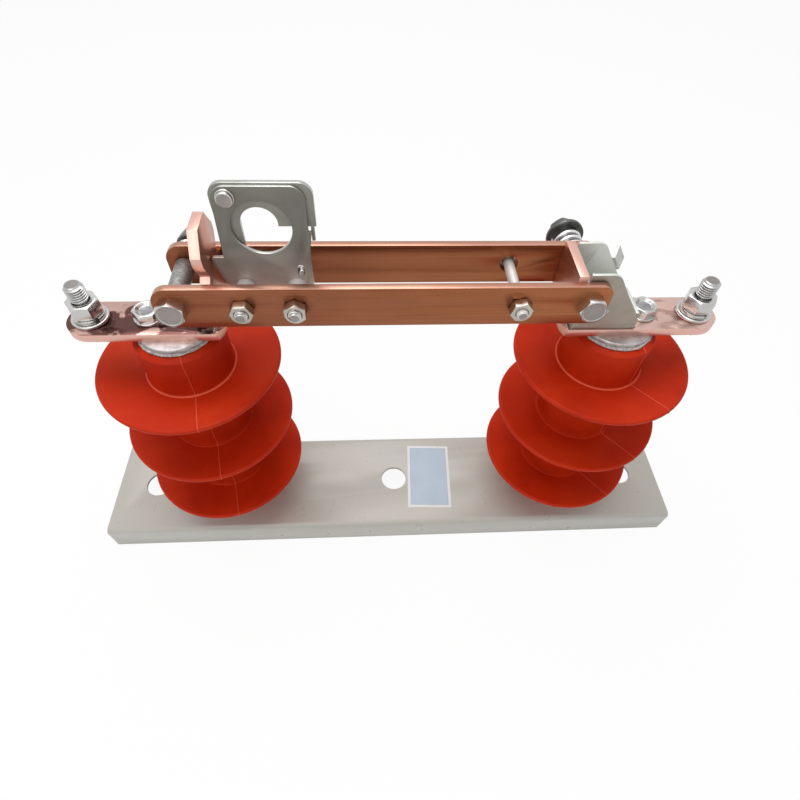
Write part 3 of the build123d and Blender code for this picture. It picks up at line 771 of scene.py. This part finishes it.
bracket = worked_copy("hinge_bracket", "folded_bracket", 0.2)
install(bracket, [bracket_zinc, sheet_cut, shaded_cheek_zinc], "base", "zinc_sheet", "hinge_bracket")
edge_finish(bracket, lambda n: is_side(n) or abs(n.z) > 0.8 or abs(n.x) > 0.95)
# The front cheek is painted darker than the rest of the bracket: painted shade on its front face
for polygon in bracket.data.polygons:
    if polygon.normal.y < -0.8 and polygon.center.y < 0:
        polygon.material_index = 2

for node, name, body, slot, finishes in (
    ("blade_front", "front_blade_bar", "blades", "copper", [blade_face, blade_edge]),
    ("blade_back", "back_blade_bar", "blades", "copper", [blade_face, blade_edge]),
    ("pull_plate", "pull_plate_sheet", "blades", "zinc_sheet", [sheet_zinc, sheet_cut]),
    ("latch_lever", "latch_lever_sheet", "latch", "zinc_sheet", [lit_lever_zinc, sheet_cut]),
):
    sheet = worked_copy(node, name, sheet_ease)
    install(sheet, finishes, body, slot, node)
    edge_finish(sheet, is_side)

# Bolts through the plates

ring_thick = 2.0
dish_radius = 3.5
head_turn = {"left": (12, 40), "right": (5, 20)}
for side in ("left", "right"):
    low, high = span(f"cap_bolts_{side}")
    plate_z = span(f"cap_washers_{side}")[0].z
    ends = []
    rings = []
    bracket_foot = 2.0 if side == "right" else 0.0
    places = [(low.x + corner_radius(m10), bracket_foot), (high.x - corner_radius(m10), 0.0)]
    for number, (x, lift) in enumerate(places):
        seat = plate_z + lift
        ring = washer(f"cap_washer_{side}_{number}", 9.5, 5.1, ring_thick)
        place(ring, (x, 0, seat))
        rings.append(ring)
        head = hexagon_head(
            f"cap_head_{side}_{number}", m10, m10_head, 1.9, head_turn[side][number]
        )
        place(head, (x, 0, seat + ring_thick))
        length = seat + ring_thick + 0.05 - low.z
        shank = turned(f"cap_shank_{side}_{number}", [
            (0, 0), (4.9, 0, 0.7), (4.9, length), (0, length),
        ])
        place(shank, (x, 0, low.z))
        ends += [head, shank]
    screws = joined(f"cap_screws_{side}", ends)
    install(screws, [bolt_zinc, shaded_dish_zinc], "base", "zinc_fastener", f"cap_bolts_{side}")
    # The dishes of the heads are painted darker: painted shade in the recess
    face_finish(screws, lambda middle, normal: (
        normal.z > 0.95 and middle.z > over_plates
        and min(math.hypot(middle.x - x, middle.y) for x, _ in places) < dish_radius
    ))
    install(
        joined(f"cap_rings_{side}", rings), bolt_zinc, "base", "zinc_fastener",
        f"cap_washers_{side}",
    )

nut_turn = {"left": 8, "right": 0}
lock_turn = {"left": -35, "right": -60}
for side in ("left", "right"):
    low, high = span(f"terminal_bolt_{side}")
    x = (low.x + high.x) / 2
    nut_low, nut_high = span(f"terminal_nut_{side}")
    seat = low.z + m12_head
    head = hexagon_head(f"terminal_head_{side}", m12, m12_head, 0.8, 20)
    place(head, (x, 0, seat), down)
    shank = turned(f"terminal_shank_{side}", [
        (0, 0), (6, 0), (6, nut_low.z - seat), (5.0, nut_low.z - seat + 0.1),
        (5.0, nut_high.z - seat + 0.1), (0, nut_high.z - seat + 0.1),
    ])
    place(shank, (x, 0, seat))
    screw_end = thread(f"terminal_thread_{side}", 6, 1.75, high.z - nut_high.z, 1.3)
    place(screw_end, (x, 0, nut_high.z), up, 60)
    screw = joined(f"terminal_screw_{side}", [head, shank, screw_end])
    install(screw, [stud_zinc, head_zinc], "base", "zinc_fastener", f"terminal_bolt_{side}")
    face_finish(screw, lambda middle, normal: normal.z > 0.95)
    nut = hexagon_nut(
        f"terminal_hexagon_nut_{side}", m12, nut_high.z - nut_low.z, 5.45, nut_turn[side]
    )
    place(nut, (x, 0, nut_low.z))
    install(nut, bolt_zinc, "base", "zinc_fastener", f"terminal_nut_{side}")
    low, high = span(f"terminal_washer_{side}")
    flat = washer(f"terminal_flat_washer_{side}", 12, 6.4, high.z - low.z, 0.8)
    place(flat, (x, 0, low.z))
    install(flat, bolt_zinc, "base", "zinc_fastener", f"terminal_washer_{side}")
    low, high = span(f"terminal_lock_washer_{side}")
    # Spring washer: a square section wound nearly once round, with its ends apart
    lock = draw(f"terminal_spring_washer_{side}", [
        (6.2, 0, 0.1), (10.3, 0, 0.1), (10.3, 0, 2.7), (6.2, 0, 2.7), (6.2, 0, 0.1),
    ])
    close_up(lock)
    coiled(lock, 0.22, 0.955)
    ease(lock, 0.2)
    place(lock, (x, 0, low.z), up, lock_turn[side])
    install(lock, bolt_zinc, "base", "zinc_fastener", f"terminal_lock_washer_{side}")

# Bolts through the blades

broad_share = 0.505
thread_in_nut = 2.0


def cross_screws(node, name, across_flats, head, dish, radius, pitch, head_in_front,
                 thread_length, turns, places):
    """Bolts along Y with a broad pressed head at one end and a thread at the other."""
    low, high = span(node)
    lumps = []
    for number, (x, z) in enumerate(places):
        cap = hexagon_head(
            f"{name}_head_{number}", across_flats, head, dish, turns[number], broad_share
        )
        seat = low.y + head if head_in_front else high.y - head
        place(cap, (x, seat, z), to_front if head_in_front else to_rear)
        tip = high.y if head_in_front else low.y
        length = abs(tip - seat) - thread_length
        shank = turned(f"{name}_shank_{number}", [
            (0, 0), (radius, 0), (radius, length - 0.3),
            (radius - thread_depth_share * pitch, length), (0, length),
        ])
        ease(shank, 0)
        facing = to_rear if head_in_front else to_front
        place(shank, (x, seat, z), facing)
        end = thread(f"{name}_thread_{number}", radius, pitch, thread_length, 0.9)
        start = tip - thread_length if head_in_front else tip + thread_length
        place(end, (x, start, z), facing)
        lumps += [cap, shank, end]
    piece = install(joined(name, lumps), [bolt_zinc, head_zinc], "blades", "zinc_fastener", node)
    face_finish(piece, faces_along_y)


def faces_along_y(_, normal):
    """Whether a polygon is one of the ends of a bolt that lies along Y."""
    return abs(normal.y) > 0.97


for end, turn, ring_radius, outside, wire, windings in (
    ("hinge", 0, 13.0, 10.0, 2.8, 3.5), ("contact", 27, 9.6, 9.0, 2.4, 2.5),
):
    low, high = span(f"{end}_nut")
    x, z = axis_of(f"{end}_nut")
    cross_screws(
        f"{end}_bolt", f"{end}_screw", m10, m10_head, 0.15, 5, 1.5, True,
        span(f"{end}_bolt")[1].y - high.y + thread_in_nut, [turn], [(x, z)],
    )
    nut = hexagon_nut(f"{end}_hexagon_nut", m10, high.y - low.y, 5.05, 18)
    place(nut, (x, low.y, z), to_rear)
    install(nut, dark_steel, "blades", "dark_steel", f"{end}_nut")
    for where, radius, finish, slot in (
        ("inner", 10.0, bolt_zinc, "zinc_fastener"),
        ("outer", ring_radius, dark_steel, "dark_steel"),
    ):
        low, high = span(f"{end}_{where}_washer")
        flat = washer(f"{end}_{where}_ring", radius, 5.1, high.y - low.y, 0.6)
        place(flat, (x, low.y, z), to_rear)
        install(flat, finish, "blades", slot, f"{end}_{where}_washer")
    start = span(f"{end}_inner_washer")[1].y
    stop = span(f"{end}_outer_washer")[0].y
    coil = spring(f"{end}_coil_spring", (x, start, z), stop - start, outside, wire, windings)
    install(coil, spring_steel, "blades", "zinc_fastener", f"{end}_spring")

low, high = span("contact_sleeve")
x, z = axis_of("contact_sleeve")
tube = washer("contact_spacer_tube", 6.3, 5.1, high.y - low.y, 0.5)
place(tube, (x, low.y, z), to_rear)
install(tube, sleeve_steel, "blades", "dark_steel", "contact_sleeve")

low, high = span("pull_plate_nuts")
z = (low.z + high.z) / 2
bolt_places = [(low.x + corner_radius(m8), z), (high.x - corner_radius(m8), z)]
cross_screws(
    "pull_plate_bolts", "pull_plate_screws", m8, m8_head, 0.4, 4, 1.25, False,
    low.y - span("pull_plate_bolts")[0].y + thread_in_nut, [10, 40], bolt_places,
)
nuts = []
for number, (turn, (x, _)) in enumerate(zip((2, 30), bolt_places)):
    nut = hexagon_nut(f"pull_plate_nut_{number}", m8, high.y - low.y, 4.05, turn)
    nuts.append(place(nut, (x, high.y, z), to_front))
install(joined("pull_plate_hexagon_nuts", nuts), nut_zinc, "blades", "zinc_fastener",
        "pull_plate_nuts")
low, high = span("pull_plate_sleeves")
sheet_low, sheet_high = span("pull_plate")
tubes = []
for number, (x, _) in enumerate(bolt_places):
    for front, back in ((low.y, sheet_low.y), (sheet_high.y, high.y)):
        tube = washer(f"pull_plate_tube_{number}", 6.3, 4.1, back - front, 0.4)
        tubes.append(place(tube, (x, front, z), to_rear))
install(joined("pull_plate_spacer_tubes", tubes), rod_zinc, "blades", "zinc_fastener",
        "pull_plate_sleeves")

rod_radius, rod_thread, rod_bare_from, rod_nut_high = 3.5, 4.5, 4, 6.5
low, high = span("tie_rod")
x, z = axis_of("tie_rod")
rod_bare_to = high.y - low.y - rod_bare_from
rod = turned("tie_rod_bar", [
    (0, rod_bare_from), (rod_radius, rod_bare_from), (rod_radius, rod_bare_to), (0, rod_bare_to),
])
ease(rod, 0)
place(rod, (x, low.y, z), to_rear)
rod_ends = []
for start, facing in ((low.y + rod_thread, to_front), (high.y - rod_thread, to_rear)):
    end = thread("tie_rod_thread", rod_radius, 1.0, rod_thread, 0.8)
    rod_ends.append(place(end, (x, start, z), facing))
rod = joined("tie_rod_bar", [rod] + rod_ends)
install(rod, [rod_zinc, head_zinc], "blades", "zinc_fastener", "tie_rod")
face_finish(rod, faces_along_y)
low, high = span("tie_rod_nuts")
front_nut = hexagon_nut("tie_rod_nut_front", m8, rod_nut_high, 3.55, 12)
place(front_nut, (x, low.y + rod_nut_high, z), to_front)
rear_nut = hexagon_nut("tie_rod_nut_rear", m8, rod_nut_high, 3.55, 34)
place(rear_nut, (x, high.y - rod_nut_high, z), to_rear)
install(joined("tie_rod_hexagon_nuts", [front_nut, rear_nut]), nut_zinc, "blades",
        "zinc_fastener", "tie_rod_nuts")

# Rivet of the latch lever, drawn from its tail at the back to its head: the tail, the pin through
# both sheets, a collar before the lever, and the head. A small pin stands in the slot beside it
low, high = span("pull_plate_rivets")
joint = [j for j in frame["joints"] if j["name"] == "latch_swing"][0]
rivet_x, _, rivet_z = (1000 * value for value in joint["pos_m"])
middle, whole = high.y, high.y - low.y
rivet = turned("lever_rivet", [
    (0, 0), (4.6, 0, 0.4), (4.6, 1.1), (3.0, 1.1), (3.0, middle + 2.55), (5.2, middle + 2.55),
    (5.2, middle + 4.25, 0.5), (4.5, middle + 4.3), (4.5, whole, 0.6), (2.6, whole - 0.25),
    (0, whole - 0.5),
])
ease(rivet, 0)
place(rivet, (rivet_x, high.y, rivet_z), to_front)
pin_x, pin_z, pin_head = -63.0, 297.6, 1.2
pin = turned("slot_pin", [
    (0, 0), (3.2, 0, 0.4), (3.2, pin_head), (1.9, pin_head + 0.05), (1.9, 3.75, 0.4), (0, 3.75),
])
ease(pin, 0)
place(pin, (pin_x, sheet_high.y + pin_head, pin_z), to_front)
rivets = joined("lever_rivet_and_pin", [rivet, pin])
install(rivets, [bolt_zinc, head_zinc], "blades", "zinc_sheet", "pull_plate_rivets")
face_finish(rivets, lambda middle, normal: normal.y < -0.95 and middle.z > pin_z + 20)

# Studio


def rays_that_see_the_background(nodes, links):
    """1 for camera, glossy and transmission rays, 0 for the rest."""
    path = nodes.new("ShaderNodeLightPath")
    total = path.outputs["Is Camera Ray"]
    for name in ("Is Glossy Ray", "Is Transmission Ray"):
        most = nodes.new("ShaderNodeMath")
        most.operation = "MAXIMUM"
        links.new(total, most.inputs[0])
        links.new(path.outputs[name], most.inputs[1])
        total = most.outputs[0]
    return total


def white_room():
    """World: white behind the object, and a lower level of light on it."""
    world = bpy.data.worlds.new("white_room")
    bpy.context.scene.world = world
    world.use_nodes = True
    nodes, links = world.node_tree.nodes, world.node_tree.links
    light = nodes["Background"]
    light.inputs["Color"].default_value = (1, 1, 1, 1)
    light.inputs["Strength"].default_value = 0.38
    seen = nodes.new("ShaderNodeBackground")
    seen.inputs["Color"].default_value = (1, 1, 1, 1)
    seen.inputs["Strength"].default_value = 1.0
    mix = nodes.new("ShaderNodeMixShader")
    links.new(rays_that_see_the_background(nodes, links), mix.inputs["Fac"])
    links.new(light.outputs[0], mix.inputs[1])
    links.new(seen.outputs[0], mix.inputs[2])
    links.new(mix.outputs[0], nodes["World Output"].inputs["Surface"])


def select_low_back_edge(mesh):
    """Selects the edge of the floor that lies farthest back, in edit mode."""
    bpy.ops.mesh.select_all(action="DESELECT")
    work = bmesh.from_edit_mesh(mesh)
    for edge in work.edges:
        if all(corner.co.y > 4 and corner.co.z < 0.1 for corner in edge.verts):
            edge.select = True
    bmesh.update_edit_mesh(mesh)


def pale_floor():
    """A plane whose far edge is swept up into a backdrop; its sizes are in metres."""
    floor = shape("studio_floor", bpy.ops.mesh.primitive_plane_add, size=9)
    bpy.ops.object.mode_set(mode="EDIT")
    bpy.ops.mesh.select_mode(type="EDGE")
    select_low_back_edge(floor.data)
    bpy.ops.mesh.extrude_region_move(TRANSFORM_OT_translate={"value": (0, 0, 4)})
    select_low_back_edge(floor.data)
    bpy.ops.mesh.bevel(offset=1.4, segments=16, affect="EDGES")
    bpy.ops.object.mode_set(mode="OBJECT")
    bpy.ops.object.shade_smooth()
    finish = Finish("pale_floor", (0.90, 0.90, 0.90), 0.9)
    nodes, links = finish.nodes, finish.links
    glow = nodes.new("ShaderNodeEmission")
    glow.inputs["Strength"].default_value = 1.0
    share = nodes.new("ShaderNodeMath")
    share.operation = "MULTIPLY"
    share.inputs[1].default_value = 0.93
    links.new(rays_that_see_the_background(nodes, links), share.inputs[0])
    mix = nodes.new("ShaderNodeMixShader")
    links.new(share.outputs[0], mix.inputs["Fac"])
    links.new(finish.shader.outputs[0], mix.inputs[1])
    links.new(glow.outputs[0], mix.inputs[2])
    links.new(mix.outputs[0], nodes["Material Output"].inputs["Surface"])
    floor.data.materials.append(finish.material)


def soft_lamp(name, at, aim, size, power):
    """A square lamp turned to its aim, in metres and watts."""
    lamp = bpy.data.lights.new(name, "AREA")
    lamp.shape = "SQUARE"
    lamp.size = size
    lamp.energy = power
    holder = bpy.data.objects.new(name, lamp)
    holder.location = at
    holder.rotation_euler = (Vector(aim) - Vector(at)).to_track_quat("-Z", "Y").to_euler()
    bpy.context.scene.collection.objects.link(holder)


def camera():
    """The photograph's view: 53 degrees down, a little from the left, and rolled by 3 degrees."""
    yaw, pitch, roll = (math.radians(angle) for angle in (5.06, 52.64, -2.99))
    ahead = Vector((
        math.sin(yaw) * math.cos(pitch), math.cos(yaw) * math.cos(pitch), -math.sin(pitch)
    ))
    level = Vector((math.cos(yaw), -math.sin(yaw), 0))
    lower = ahead.cross(level)
    right = level * math.cos(roll) + lower * math.sin(roll)
    under = lower * math.cos(roll) - level * math.sin(roll)
    lens = bpy.data.cameras.new("camera")
    lens.lens = 23.59
    lens.sensor_width = 36
    lens.clip_start = 0.01
    holder = bpy.data.objects.new("camera", lens)
    bpy.context.scene.collection.objects.link(holder)
    turn = Matrix((right, -under, -ahead)).transposed().to_4x4()
    holder.matrix_world = Matrix.Translation((-0.02111, -0.26376, 0.50980)) @ turn
    bpy.context.scene.camera = holder


white_room()
pale_floor()
object_middle = (0, 0, 0.15)
soft_lamp("top_softbox", (-0.15, 0.25, 1.5), object_middle, 1.3, 16)
soft_lamp("front_softbox", (-0.55, -1.15, 1.15), object_middle, 1.2, 6.5)
camera()
bpy.context.scene.view_settings.view_transform = "Standard"
